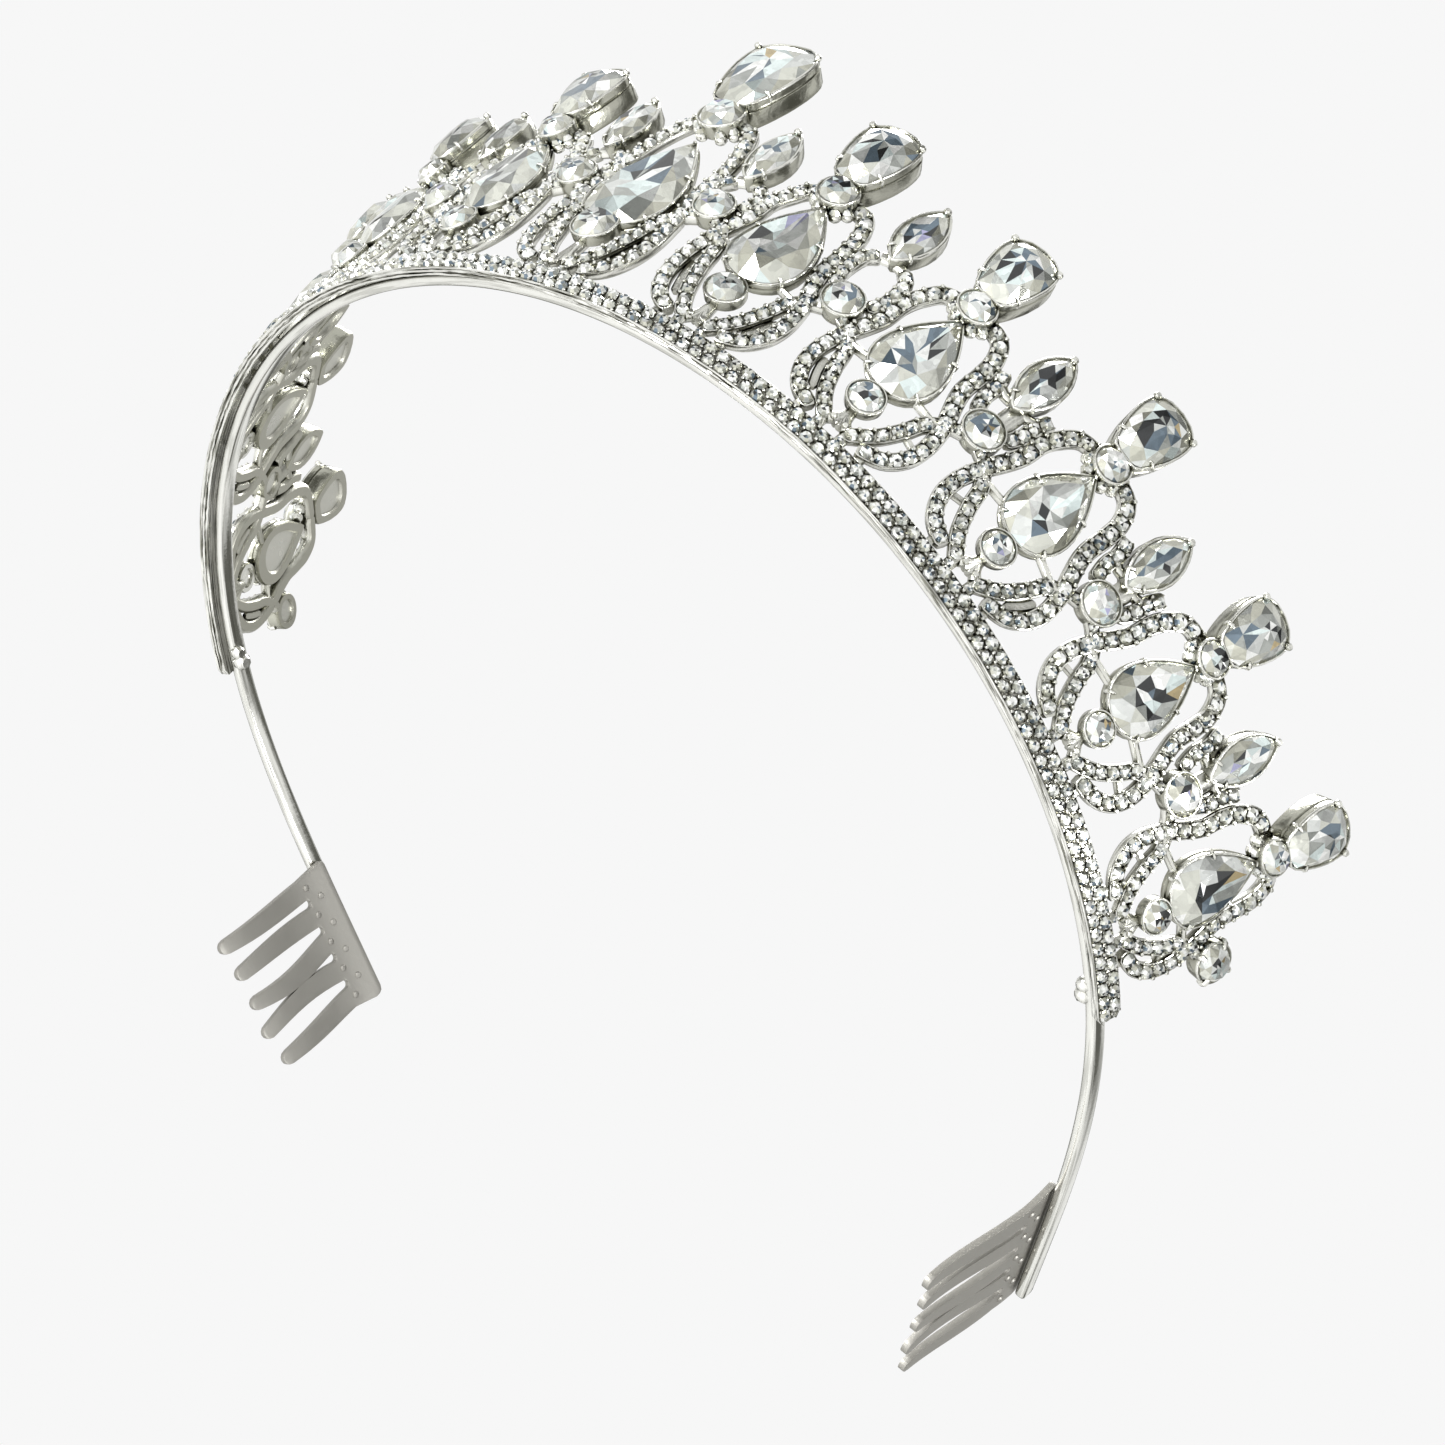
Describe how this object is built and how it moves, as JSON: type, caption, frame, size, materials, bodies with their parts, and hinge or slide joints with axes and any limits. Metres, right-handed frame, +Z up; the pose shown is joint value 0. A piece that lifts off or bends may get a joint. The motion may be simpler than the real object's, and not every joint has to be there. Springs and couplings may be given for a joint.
{
  "type": "bridal tiara",
  "caption": "Openwork bridal tiara: leaning crown of pear, round and marquise crystals in pave scrollwork, on a pave rail and a sprung open headband with side combs.",
  "frame": {"origin": "centre of the head opening, in the plane of the rail's flat underside", "axes": "+Z up as worn, the front of the tiara faces -Y, +X to the right as seen from the front; the part is symmetric about X = 0"},
  "size_m": [0.1802, 0.1418, 0.0731],
  "materials": {
    "plated_casting": "bright silver-coloured plating over a cast alloy, polished faces, slightly grainy backs",
    "band_metal": "polished silver-coloured plating with fine lengthwise brushing",
    "comb_metal": "pressed sheet, silver-coloured plating, softly polished",
    "crystal": "faceted clear crystal with a mirror-foiled back",
    "pave_crystal": "small round faceted clear crystals, foil backed, bead set"
  },
  "bodies": {
    "root": {"headband": "band_metal", "base_rail": "plated_casting", "comb_left": "comb_metal", "comb_right": "comb_metal", "frame_left_5": "plated_casting", "main_pear_left_5": "crystal", "top_pear_left_5": "crystal", "frame_left_4": "plated_casting", "main_pear_left_4": "crystal", "top_pear_left_4": "crystal", "frame_left_3": "plated_casting", "main_pear_left_3": "crystal", "top_pear_left_3": "crystal", "frame_left_2": "plated_casting", "main_pear_left_2": "crystal", "top_pear_left_2": "crystal", "frame_left_1": "plated_casting", "main_pear_left_1": "crystal", "top_pear_left_1": "crystal", "frame_centre": "plated_casting", "main_pear_centre": "crystal", "top_pear_centre": "crystal", "frame_right_1": "plated_casting", "main_pear_right_1": "crystal", "top_pear_right_1": "crystal", "frame_right_2": "plated_casting", "main_pear_right_2": "crystal", "top_pear_right_2": "crystal", "frame_right_3": "plated_casting", "main_pear_right_3": "crystal", "top_pear_right_3": "crystal", "frame_right_4": "plated_casting", "main_pear_right_4": "crystal", "top_pear_right_4": "crystal", "frame_right_5": "plated_casting", "main_pear_right_5": "crystal", "top_pear_right_5": "crystal", "between_round_left_1": "crystal", "between_round_left_2": "crystal", "between_round_left_3": "crystal", "between_round_left_4": "crystal", "between_round_left_5": "crystal", "between_round_left_6": "crystal", "marquise_left_1": "crystal", "marquise_left_2": "crystal", "marquise_left_3": "crystal", "marquise_left_4": "crystal", "marquise_left_5": "crystal", "between_round_right_1": "crystal", "between_round_right_2": "crystal", "between_round_right_3": "crystal", "between_round_right_4": "crystal", "between_round_right_5": "crystal", "between_round_right_6": "crystal", "marquise_right_1": "crystal", "marquise_right_2": "crystal", "marquise_right_3": "crystal", "marquise_right_4": "crystal", "marquise_right_5": "crystal"}
  },
  "joints": []
}
